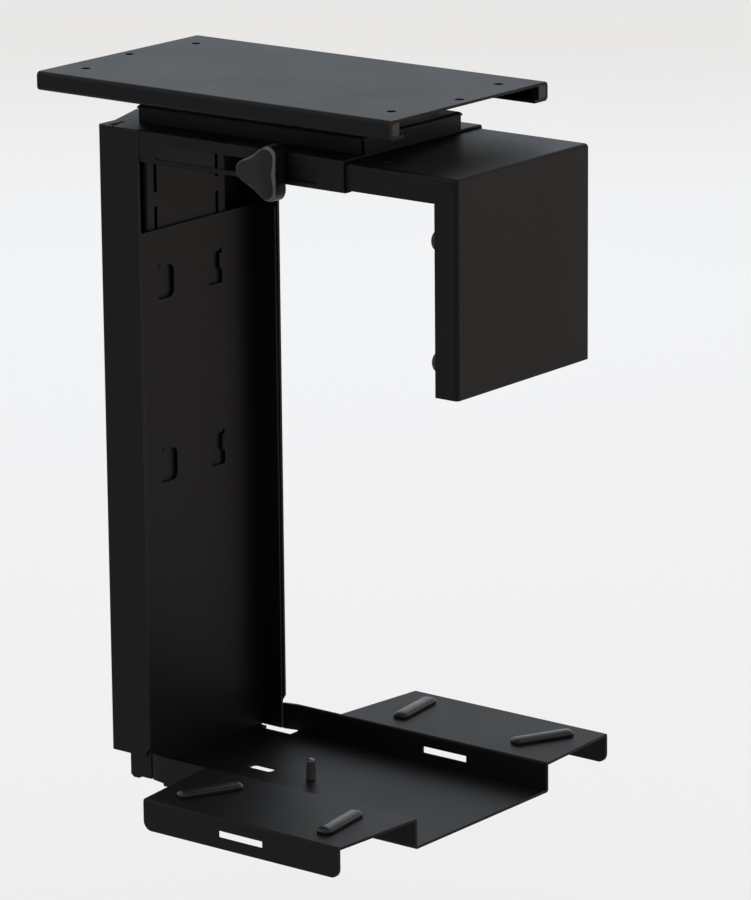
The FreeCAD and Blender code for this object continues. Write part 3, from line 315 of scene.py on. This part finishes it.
def softened(node, slot, radius, finish, edge_finish, steps=2):
    """A copy of a CAD node with its sharp edges rounded by `radius`, standing for that node."""
    piece = new_piece(node + "_finished", merged_copy(node), finish, edge_finish)
    piece.data.shade_smooth()
    bevel = piece.modifiers.new("rounded_edges", "BEVEL")
    bevel.width = radius
    bevel.segments = steps
    bevel.limit_method = "ANGLE"
    bevel.angle_limit = SHARP
    bevel.material = 1
    bevel.miter_outer = "MITER_ARC"
    bevel.use_clamp_overlap = True
    bevel.harden_normals = True
    weighted = piece.modifiers.new("flat_faces_stay_flat", "WEIGHTED_NORMAL")
    weighted.weight = 100
    weighted.keep_sharp = True
    return hand_over(with_modifiers_applied(piece), slot, node)


for node in ("mounting_plate", "turntable_pan", "arm_sleeve", "column", "hook_rail", "lower_bracket", "clamp_arm"):
    piece = softened(node, STEEL, 0.3 * MM, black_coat, edge_coat_painted_highlight)
    print(piece.name, len(piece.data.polygons), "faces")

# %% [markdown]
# ## Hidden hardware
# The swivel, the carriage and the bolts hardly show, but they are real pieces and turn up when the holder is
# seen from the side. They get the same softening with a smaller radius, and their own metals.

# %% Carriage and swivel
for node in ("carriage_plate", "upper_race", "lower_race", "pivot_bolt", "pivot_collar", "pivot_washer",
             "pivot_nut", "knob_washer", "arm_nut", "pan_spacers", "knob_stud", "bumper_studs"):
    softened(node, ZINC, 0.15 * MM, zinc_plate, zinc_plate)
softened("ball_cage", BRASS, 0.1 * MM, pressed_brass, pressed_brass)
for node in ("glide_front", "glide_back", "friction_disc"):
    softened(node, NYLON, 0.15 * MM, natural_nylon, natural_nylon)
softened("rail_stops", GRIP, 0.4 * MM, grip_plastic, grip_plastic)
print("softened the hidden hardware")

# %% [markdown]
# ## Turned pieces
# Rivets, screws, bumpers and the tray's stud are all round, so each is described by half of its cross-section: a
# few (radius, height) points. `turned` spins that outline into a closed mesh. The end points sit on the
# axis, where each closes to a single pole. A turned piece is made upright at the origin. `TOP_TO_MINUS_X` tips
# it over until its top points along -X.

# %% Turning
TOP_TO_MINUS_X = Matrix.Rotation(math.radians(-90.0), 4, "Y")


def smooth_mesh(work, name):
    """Finish a bmesh: normals outward, smooth shading."""
    bmesh.ops.recalc_face_normals(work, faces=work.faces)
    mesh = bpy.data.meshes.new(name)
    work.to_mesh(mesh)
    work.free()
    mesh.shade_smooth()
    return mesh


def turned(name, outline, steps=32):
    """Spin (radius, height) points about Z. The first and last points lie on the axis."""
    work = bmesh.new()
    rings = []
    for radius, height in outline[1:-1]:
        rings.append([work.verts.new((radius * math.cos(2 * math.pi * step / steps),
                                      radius * math.sin(2 * math.pi * step / steps), height))
                      for step in range(steps)])
    bottom = work.verts.new((0.0, 0.0, outline[0][1]))
    top = work.verts.new((0.0, 0.0, outline[-1][1]))
    for step in range(steps):
        after = (step + 1) % steps
        work.faces.new((bottom, rings[0][after], rings[0][step]))
        work.faces.new((top, rings[-1][step], rings[-1][after]))
        for low, high in zip(rings, rings[1:]):
            work.faces.new((low[step], low[after], high[after], high[step]))
    return smooth_mesh(work, name)


def dome(radius, low, high, count=5):
    """Outline points of a shallow dome: from its rim at `low` up to the axis at `high`."""
    angles = [math.pi / 2 * step / count for step in range(count)]
    return [(radius * math.cos(angle), low + (high - low) * math.sin(angle)) for angle in angles] + [(0.0, high)]


print("a dome of five rings:", len(dome(1.0, 0.0, 1.0)), "points")

# %% [markdown]
# ## Rows and rings with Geometry Nodes
# The rivets and screws stand in regular rows, and the swivel's balls stand on a circle. Both are the same job:
# put a copy of one piece on each point, realise the copies and set the finish. `copies_tree` builds the tree
# for it round any node that makes points, a Mesh Grid for rows and a Mesh Circle for rings. `laid_out`
# fills the tree's inputs in by their identifiers, turns the result into a plain mesh, and puts it in its place.

# %% The trees
def copies_tree(name, point_maker, inputs):
    """Copies of one piece on points. `inputs`: each extra input's type, and the point maker's socket it fills."""
    tree = bpy.data.node_groups.new(name, "GeometryNodeTree")
    face = tree.interface
    face.new_socket("Geometry", in_out="INPUT", socket_type="NodeSocketGeometry")
    kinds = {"Piece": "Object", "Finish": "Material", **{label: kind for label, (kind, _) in inputs.items()}}
    for label, kind in kinds.items():
        face.new_socket(label, in_out="INPUT", socket_type="NodeSocket" + kind)
    face.new_socket("Geometry", in_out="OUTPUT", socket_type="NodeSocketGeometry")
    start = tree.nodes.new("NodeGroupInput")
    end = tree.nodes.new("NodeGroupOutput")
    source = add(tree, "GeometryNodeObjectInfo", {"Object": start.outputs["Piece"]})
    points = add(tree, point_maker, {socket: start.outputs[label] for label, (_, socket) in inputs.items()})
    copies = add(tree, "GeometryNodeInstanceOnPoints", {
        "Points": points.outputs[0], "Instance": source.outputs["Geometry"]})
    solid = add(tree, "GeometryNodeRealizeInstances", {"Geometry": copies.outputs[0]})
    coated = add(tree, "GeometryNodeSetMaterial", {
        "Geometry": solid.outputs[0], "Material": start.outputs["Finish"]})
    tree.links.new(coated.outputs[0], end.inputs[0])
    return tree


rows_of_copies = copies_tree("rows_of_copies", "GeometryNodeMeshGrid", {
    "Columns": ("Int", "Vertices X"), "Rows": ("Int", "Vertices Y"),
    "Width": ("Float", "Size X"), "Height": ("Float", "Size Y")})
ring_of_copies = copies_tree("ring_of_copies", "GeometryNodeMeshCircle", {
    "Count": ("Int", "Vertices"), "Radius": ("Float", "Radius")})
for tree in (rows_of_copies, ring_of_copies):
    print(tree.name, [item.name for item in tree.interface.items_tree if item.in_out == "INPUT"])

# %% Lay out a node's copies
def laid_out(node, slot, finish, mesh, tree, values, place):
    """Copies of `mesh` laid out by a tree across X and Y, then moved by the matrix `place` as one piece."""
    sample = bpy.data.objects.new(node + "_sample", mesh)
    piece = new_piece(node + "_finished", bpy.data.meshes.new(node), finish)
    layout = piece.modifiers.new("layout", "NODES")
    layout.node_group = tree
    values = {"Piece": sample, "Finish": finish, **values}
    for item in tree.interface.items_tree:
        if item.in_out == "INPUT" and item.name in values:
            layout[item.identifier] = values[item.name]
    with_modifiers_applied(piece)
    piece.data.transform(place)
    bpy.data.objects.remove(sample)
    return hand_over(piece, slot, node)


def middle_of(node):
    low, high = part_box(node)
    return (Vector(low) + Vector(high)) / 2


print("rail rivets are centred at", [round(value, 4) for value in middle_of("rail_rivets")])

# %% [markdown]
# ## Rivets and screws
# A rivet here is a semi-tubular one: a domed head outside, a shank, and a rolled tail inside. The pan's screws
# have a low pan head with a hexagon socket. Their heads and ends sit where the CAD model has them, because
# heights are measured from the nodes' own boxes.

# %% Rivets
RIVET_SHANK, RIVET_HEAD, RIVET_TAIL = 2.4 * MM, 4.6 * MM, 3.8 * MM


def rivet_outline(length):
    """From the tail at 0 up to the top of the head at `length`."""
    head_low = length - 1.7 * MM
    tail = [(0.0, 0.5 * MM), (2.0 * MM, 0.4 * MM), (2.7 * MM, 0.05 * MM), (3.3 * MM, 0.15 * MM),
            (RIVET_TAIL, 0.6 * MM), (RIVET_TAIL, 1.2 * MM), (RIVET_SHANK, 1.2 * MM), (RIVET_SHANK, head_low)]
    return tail + [(RIVET_HEAD, head_low)] + dome(RIVET_HEAD, head_low + 0.25 * MM, length)


for node, levels in (("column_rivets", 2), ("rail_rivets", 4)):
    low, high = (Vector(corner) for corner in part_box(node))
    length = high.x - low.x
    mesh = turned(node, rivet_outline(length), 24)
    spacing = {"Columns": levels, "Rows": 2, "Width": high.z - low.z - 2 * RIVET_HEAD,
               "Height": high.y - low.y - 2 * RIVET_HEAD}
    middle = Vector((high.x, (low.y + high.y) / 2, (low.z + high.z) / 2))
    piece = laid_out(node, STEEL, black_coat, mesh, rows_of_copies, spacing,
                     Matrix.Translation(middle) @ TOP_TO_MINUS_X)
    print(piece.name, [round(value, 4) for value in piece.dimensions])

# %% Pan screws
SCREW_SHANK, SCREW_HEAD, HEAD_HEIGHT, SOCKET_REACH = 2.4 * MM, 4.5 * MM, 1.6 * MM, 1.9 * MM


def socket_screw(name, length):
    """A pan-head screw, top at `length`, with a six-sided socket let into its head."""
    head_low = length - HEAD_HEIGHT
    shank = [(0.0, 0.0), (SCREW_SHANK - 0.4 * MM, 0.0), (SCREW_SHANK, 0.4 * MM), (SCREW_SHANK, head_low)]
    head = [(SCREW_HEAD, head_low)] + dome(SCREW_HEAD, length - HEAD_HEIGHT * 0.6, length)
    mesh = turned(name, shank + head, 36)
    work = bmesh.new()
    work.from_mesh(mesh)
    # The dome's last ring becomes a hexagon, and the faces inside it sink to the socket's floor.
    top = max(work.verts, key=lambda vert: vert.co.z)
    for vert in [edge.other_vert(top) for edge in top.link_edges]:
        angle = math.atan2(vert.co.y, vert.co.x)
        reach = SOCKET_REACH * math.cos(math.pi / 6) / math.cos(angle % (math.pi / 3) - math.pi / 6)
        vert.co.x, vert.co.y = reach * math.cos(angle), reach * math.sin(angle)
    bmesh.ops.inset_region(work, faces=list(top.link_faces), thickness=0.05 * MM, depth=0.0)
    for face in list(top.link_faces):
        for vert in face.verts:
            vert.co.z = length - HEAD_HEIGHT * 0.8
    work.to_mesh(mesh)
    work.free()
    return mesh


low, high = (Vector(corner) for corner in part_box("pan_screws"))
spacing = {"Columns": 2, "Rows": 2, "Width": high.x - low.x - 2 * SCREW_HEAD,
           "Height": high.y - low.y - 2 * SCREW_HEAD}
screw = socket_screw("pan_screw", high.z - low.z)
piece = laid_out("pan_screws", ZINC, zinc_plate, screw, rows_of_copies, spacing,
                 Matrix.Translation(((low.x + high.x) / 2, 0.0, low.z)))
print(piece.name, [round(value, 4) for value in piece.dimensions])

# %% [markdown]
# ## Rings of balls and short rivets
# Each ball is an icosphere of a few hundred faces, because the balls are hidden between the races and only their
# rims catch light. The races' rivets are short chamfered pins, four to a race.

# %% Balls and race rivets
BALL_RADIUS, BALL_COUNT = 3.0 * MM, 24
work = bmesh.new()
bmesh.ops.create_icosphere(work, subdivisions=3, radius=BALL_RADIUS)
ball = bpy.data.meshes.new("ball")
work.to_mesh(ball)
work.free()
ball.shade_smooth()
axle = middle_of("bearing_balls")
low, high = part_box("bearing_balls")
ball_circle = (high[0] - low[0]) / 2 - BALL_RADIUS
laid_out("bearing_balls", ZINC, zinc_plate, ball, ring_of_copies, {"Count": BALL_COUNT, "Radius": ball_circle},
         Matrix.Translation(axle))

RACE_RIVET, CHAMFER = 2.0 * MM, 0.25 * MM
for node, turn in (("upper_race_rivets", 0.0), ("lower_race_rivets", math.pi / 4)):
    low, high = (Vector(corner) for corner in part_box(node))
    length = high.z - low.z
    spread = (high.x - low.x) / 2 - RACE_RIVET
    pin = turned(node, [(0.0, 0.0), (RACE_RIVET - CHAMFER, 0.0), (RACE_RIVET, CHAMFER),
                        (RACE_RIVET, length - CHAMFER), (RACE_RIVET - CHAMFER, length), (0.0, length)], 24)
    laid_out(node, ZINC, zinc_plate, pin, ring_of_copies, {"Count": 4, "Radius": spread / math.cos(turn)},
             Matrix.Translation((axle.x, 0.0, low.z)) @ Matrix.Rotation(turn, 4, "Z"))
print(BALL_COUNT, "balls on a circle of radius", round(ball_circle / MM, 2), "mm")

# %% [markdown]
# ## The tray's stud
# A plain stud with a rounded end, welded to the floor of the tray: the weld shows as a small fillet round its
# foot.

# %% Tray stud
low, high = (Vector(corner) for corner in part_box("tray_stud"))
stud_radius, stud_height = (high.x - low.x) / 2, high.z - low.z
barrel = stud_radius - 0.1 * MM
foot = [(0.0, 0.0), (stud_radius, 0.0), (stud_radius, 0.5 * MM), (barrel, 1.0 * MM)]
end = [(barrel, stud_height - 1.9 * MM)] + dome(barrel, stud_height - 1.7 * MM, stud_height)
stud_mesh = turned("tray_stud", foot + end, 40)
stud_mesh.transform(Matrix.Translation(((low.x + high.x) / 2, (low.y + high.y) / 2, low.z)))
# The stud takes the coat whose lighter colour is a painted sheen.
hand_over(new_piece("tray_stud_finished", stud_mesh, stud_coat_painted_sheen), STEEL, "tray_stud")
print("stud", round(stud_height / MM, 1), "mm high")

# %% [markdown]
# ## Bumpers
# Each bumper is a rubber button moulded over a stud: a straight barrel with a fine parting ridge, a flange where
# it meets the leg, and a domed tip that touches the computer. The stud in its middle is its own CAD node, so
# the barrel is bored to let it in.

# %% Bumpers
for corner in ("upper_front", "upper_back", "lower_front", "lower_back"):
    node = "bumper_" + corner
    low, high = (Vector(value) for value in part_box(node))
    length, radius = high.x - low.x, (high.z - low.z) / 2
    bore, depth = 2.0 * MM, length - 8.0 * MM
    outline = [(0.0, depth), (bore, depth), (bore, 0.0), (radius - 0.3 * MM, 0.0), (radius, 0.3 * MM),
               (radius, 1.7 * MM), (radius - 0.45 * MM, 2.1 * MM), (radius - 0.45 * MM, 9.0 * MM),
               (radius - 0.25 * MM, 9.15 * MM), (radius - 0.25 * MM, 9.45 * MM), (radius - 0.5 * MM, 9.6 * MM),
               (radius - 0.6 * MM, length - 4.6 * MM)]
    mesh = turned(node, outline + dome(radius - 0.6 * MM, length - 4.4 * MM, length, 7), 44)
    mesh.transform(Matrix.Translation((high.x, (low.y + high.y) / 2, (low.z + high.z) / 2)) @ TOP_TO_MINUS_X)
    hand_over(new_piece(node + "_finished", mesh, black_rubber), RUBBER, node)
    print(node, round(length / MM, 1), "mm long")

# %% [markdown]
# ## Rubber pads
# The pads on the ledges are moulded bars with rounded corners. Their tops have a wide chamfer all round and a
# gentle crown, so that a computer standing on them touches a soft line and not a hard edge. A pad is easiest
# as a stack of outlines: each ring is the same rounded bar, drawn in by a little more as it rises. Two stems
# push through the ledge. Edges that turn by more than `CREASE` are marked sharp, which keeps the chamfer crisp
# without tearing the mesh open.

# %% Pads
CREASE = math.radians(28.0)
PAD_CORNER, SMALLEST_CORNER = 4.5, 0.6
PAD_LENGTH, PAD_WIDTH, PAD_HEIGHT = 47.0 * MM, 11.5 * MM, 4.4 * MM
PAD_STEM, STEM_LENGTH, STEM_SPACING = 2.5 * MM, 3.5 * MM, 26.0 * MM
PAD_LEANS = {"pad_front_left": -26.0, "pad_back_left": 8.0, "pad_front_right": 8.0, "pad_back_right": -26.0}


def rounded_bar(length, width, corner, height, steps=6):
    """Corner points of a bar with rounded corners, lying along X."""
    points = []
    for quarter, (right, back) in enumerate(((1, -1), (1, 1), (-1, 1), (-1, -1))):
        for step in range(steps + 1):
            angle = math.pi / 2 * (quarter - 1 + step / steps)
            points.append((right * (length / 2 - corner) + corner * math.cos(angle),
                           back * (width / 2 - corner) + corner * math.sin(angle), height))
    return points


def skin(work, outlines):
    """Join a stack of outlines with faces, and close both ends."""
    rings = [[work.verts.new(point) for point in outline] for outline in outlines]
    count = len(rings[0])
    for first, second in zip(rings, rings[1:]):
        for index in range(count):
            after = (index + 1) % count
            work.faces.new((first[index], first[after], second[after], second[index]))
    work.faces.new(rings[-1])
    work.faces.new(list(reversed(rings[0])))


def pad_mesh(name):
    # Each step of the side view is (drawn in by, height), in millimetres.
    rings = [(0.3, 0.0), (0.0, 0.3), (0.0, 1.9), (0.2, 2.2), (1.7, 3.5), (2.1, 3.7), (3.2, 4.05), (4.4, 4.4)]
    work = bmesh.new()
    skin(work, [rounded_bar(PAD_LENGTH - 2 * inward * MM, PAD_WIDTH - 2 * inward * MM,
                            max(PAD_CORNER - inward, SMALLEST_CORNER) * MM, height * MM)
                for inward, height in rings])
    outline = [(0.0, -STEM_LENGTH), (PAD_STEM - 0.4 * MM, -STEM_LENGTH), (PAD_STEM, 0.5 * MM - STEM_LENGTH),
               (PAD_STEM, 0.2 * MM), (0.0, 0.2 * MM)]
    for end in (-1, 1):
        stem = turned(name + "_stem", outline, 20)
        stem.transform(Matrix.Translation((end * STEM_SPACING / 2, 0.0, 0.0)))
        work.from_mesh(stem)
    mesh = smooth_mesh(work, name)
    mesh.set_sharp_from_angle(angle=CREASE)
    return mesh


for name, lean in PAD_LEANS.items():
    low, high = (Vector(corner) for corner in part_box(name))
    mesh = pad_mesh(name)
    foot = Vector(((low.x + high.x) / 2, (low.y + high.y) / 2, high.z - PAD_HEIGHT))
    mesh.transform(Matrix.Translation(foot) @ Matrix.Rotation(math.radians(90.0 + lean), 4, "Z"))
    hand_over(new_piece(name + "_finished", mesh, black_rubber), RUBBER, name)
    print(name, "leans", lean, "degrees")

# %% [markdown]
# ## The knob
# The grip has three round lobes joined by slightly hollow sides, and it narrows a little towards its front so
# that it leaves its mould. A wide chamfer runs round the front face and catches the light. As with the pads,
# rings of one outline are stacked from back to front. The outline is a triangle with its corners rounded into
# lobes, so its distance from the axis is worked out in two parts: on a lobe's arc, and along a side.

# %% Knob
low, high = (Vector(corner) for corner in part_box("knob"))
knob_depth = high.y - low.y
FLAT_REACH, LOBE_RADIUS, HOLLOW = 13.95 * MM, 7.3 * MM, 0.7 * MM
LOBE_REACH = 2 * FLAT_REACH - LOBE_RADIUS
knob_back = Vector((low.x + LOBE_REACH, high.y, (low.z + high.z) / 2))
lobe_middle = LOBE_REACH - LOBE_RADIUS
# The lobe's arc meets the side where both point the same way, 60 degrees round from the lobe's tip.
meeting = math.atan2(LOBE_RADIUS * math.sin(math.pi / 3), lobe_middle + LOBE_RADIUS * math.cos(math.pi / 3))


def grip_reach(angle):
    """Distance from the knob's axis to its outline, at an angle from the lobe that points to -X."""
    off_lobe = abs((angle + math.pi / 3) % (2 * math.pi / 3) - math.pi / 3)
    if off_lobe < meeting:
        across = lobe_middle * math.sin(off_lobe)
        return lobe_middle * math.cos(off_lobe) + math.sqrt(LOBE_RADIUS ** 2 - across ** 2)
    along_side = (off_lobe - meeting) / (math.pi / 3 - meeting)
    return FLAT_REACH / math.cos(math.pi / 3 - off_lobe) - HOLLOW * math.sin(math.pi / 2 * along_side) ** 2


def knob_ring(inward, depth, steps=96):
    """Points round the grip at one depth, drawn in by `inward`."""
    points = []
    for step in range(steps):
        angle = 2 * math.pi * step / steps
        reach = grip_reach(angle) - inward
        points.append((-reach * math.cos(angle), -depth, -reach * math.sin(angle)))
    return points


# Each step of the side view is (drawn in by, distance from the back), in millimetres.
knob_profile = [(1.2, 0.0), (0.4, 0.15), (0.0, 0.7), (0.0, 1.5), (0.2, 6.0), (0.4, 9.6), (0.45, 10.0),
                (0.65, 10.3), (1.75, 11.55), (2.1, 11.85), (2.7, 12.0)]
work = bmesh.new()
skin(work, [knob_ring(inward * MM, depth * MM) for inward, depth in knob_profile])
knob_mesh = smooth_mesh(work, "knob")
knob_mesh.set_sharp_from_angle(angle=CREASE)
knob_mesh.transform(Matrix.Translation(knob_back))
knob = new_piece("knob_finished", knob_mesh, grip_plastic, grip_edge_painted_highlight)
# The chamfer is what leans part of the way forward near the front. It takes the lighter finish, whose colour is a
# painted highlight.
CHAMFER_ZONE = 3.0 * MM
for face in knob_mesh.polygons:
    leans_forward = 0.5 < abs(face.normal.y) < 0.85
    face.material_index = 1 if leans_forward and face.center.y < low.y + CHAMFER_ZONE else 0
hand_over(knob, GRIP, "knob")
print("knob", [round(value / MM, 2) for value in knob.dimensions], "mm, depth", round(knob_depth / MM, 2))

# %% [markdown]
# ## Floor and light
# The holder hangs, so its tray stops short of the large pale floor, and its shadow there is faint. A
# pale world lights it softly from everywhere. A big cool sheet of light above and behind gives the upper
# faces their sheen, a smaller warm one on the right picks out the arm's outer face, and a cool one on the left
# draws a line of light along the folded edges. The plain "Standard" view keeps the floor as pale as it is
# painted.

# %% Floor
FLOOR_GAP = 300 * MM
FLOOR_HALF = 14.0          # metres
floor_mesh = bpy.data.meshes.new("floor")
floor_level = cad_low.z - FLOOR_GAP
floor_mesh.from_pydata(
    [(x * FLOOR_HALF, y * FLOOR_HALF, floor_level) for x, y in ((-1, -1), (1, -1), (1, 1), (-1, 1))],
    [], [(0, 1, 2, 3)])
floor_paint, floor_tree, floor_surface, floor_place = new_finish("pale_floor")
fill(floor_tree, floor_surface, {
    "Base Color": blend_colours(floor_tree, noise(floor_tree, floor_place, 700 * MM), (0.806, 0.796, 0.788),
                                (0.812, 0.802, 0.794)),
    "Roughness": 0.9,
    "Specular IOR Level": 0.0,
})
floor = new_piece("floor", floor_mesh, floor_paint)
bpy.context.scene.view_settings.view_transform = "Standard"
print("floor at", round(floor_level, 4))

# %% Light
SKY_STRENGTH = 1.0


def sheet_of_light(name, place, aim, width, height, watts, colour):
    light = bpy.data.lights.new(name, "AREA")
    light.shape = "RECTANGLE"
    light.size, light.size_y = width, height
    light.energy = watts
    light.color = colour
    lamp = bpy.data.objects.new(name, light)
    bpy.context.scene.collection.objects.link(lamp)
    lamp.location = place
    lamp.rotation_euler = (Vector(aim) - Vector(place)).to_track_quat("-Z", "Y").to_euler()
    return lamp


world = bpy.data.worlds.new("pale_room")
world.use_nodes = True
sky = next(node for node in world.node_tree.nodes if node.type == "BACKGROUND")
sky.inputs["Color"].default_value = (1.0, 1.0, 1.0, 1.0)
sky.inputs["Strength"].default_value = SKY_STRENGTH
bpy.context.scene.world = world
sheet_of_light("sheet_behind", (-2.2, 2.8, 1.3), (0.0, 0.0, -0.2), 3.0, 1.4, 13.0, (0.62, 0.80, 1.0))
sheet_of_light("sheet_right", (1.9, 2.1, -0.1), (0.15, 0.0, -0.2), 1.4, 1.2, 9.0, (1.0, 0.74, 0.58))
sheet_of_light("sheet_left", (-1.9, -1.9, 1.6), (0.0, -0.1, -0.2), 1.2, 1.0, 11.0, (0.66, 0.82, 1.0))
print("world and three sheets of light")
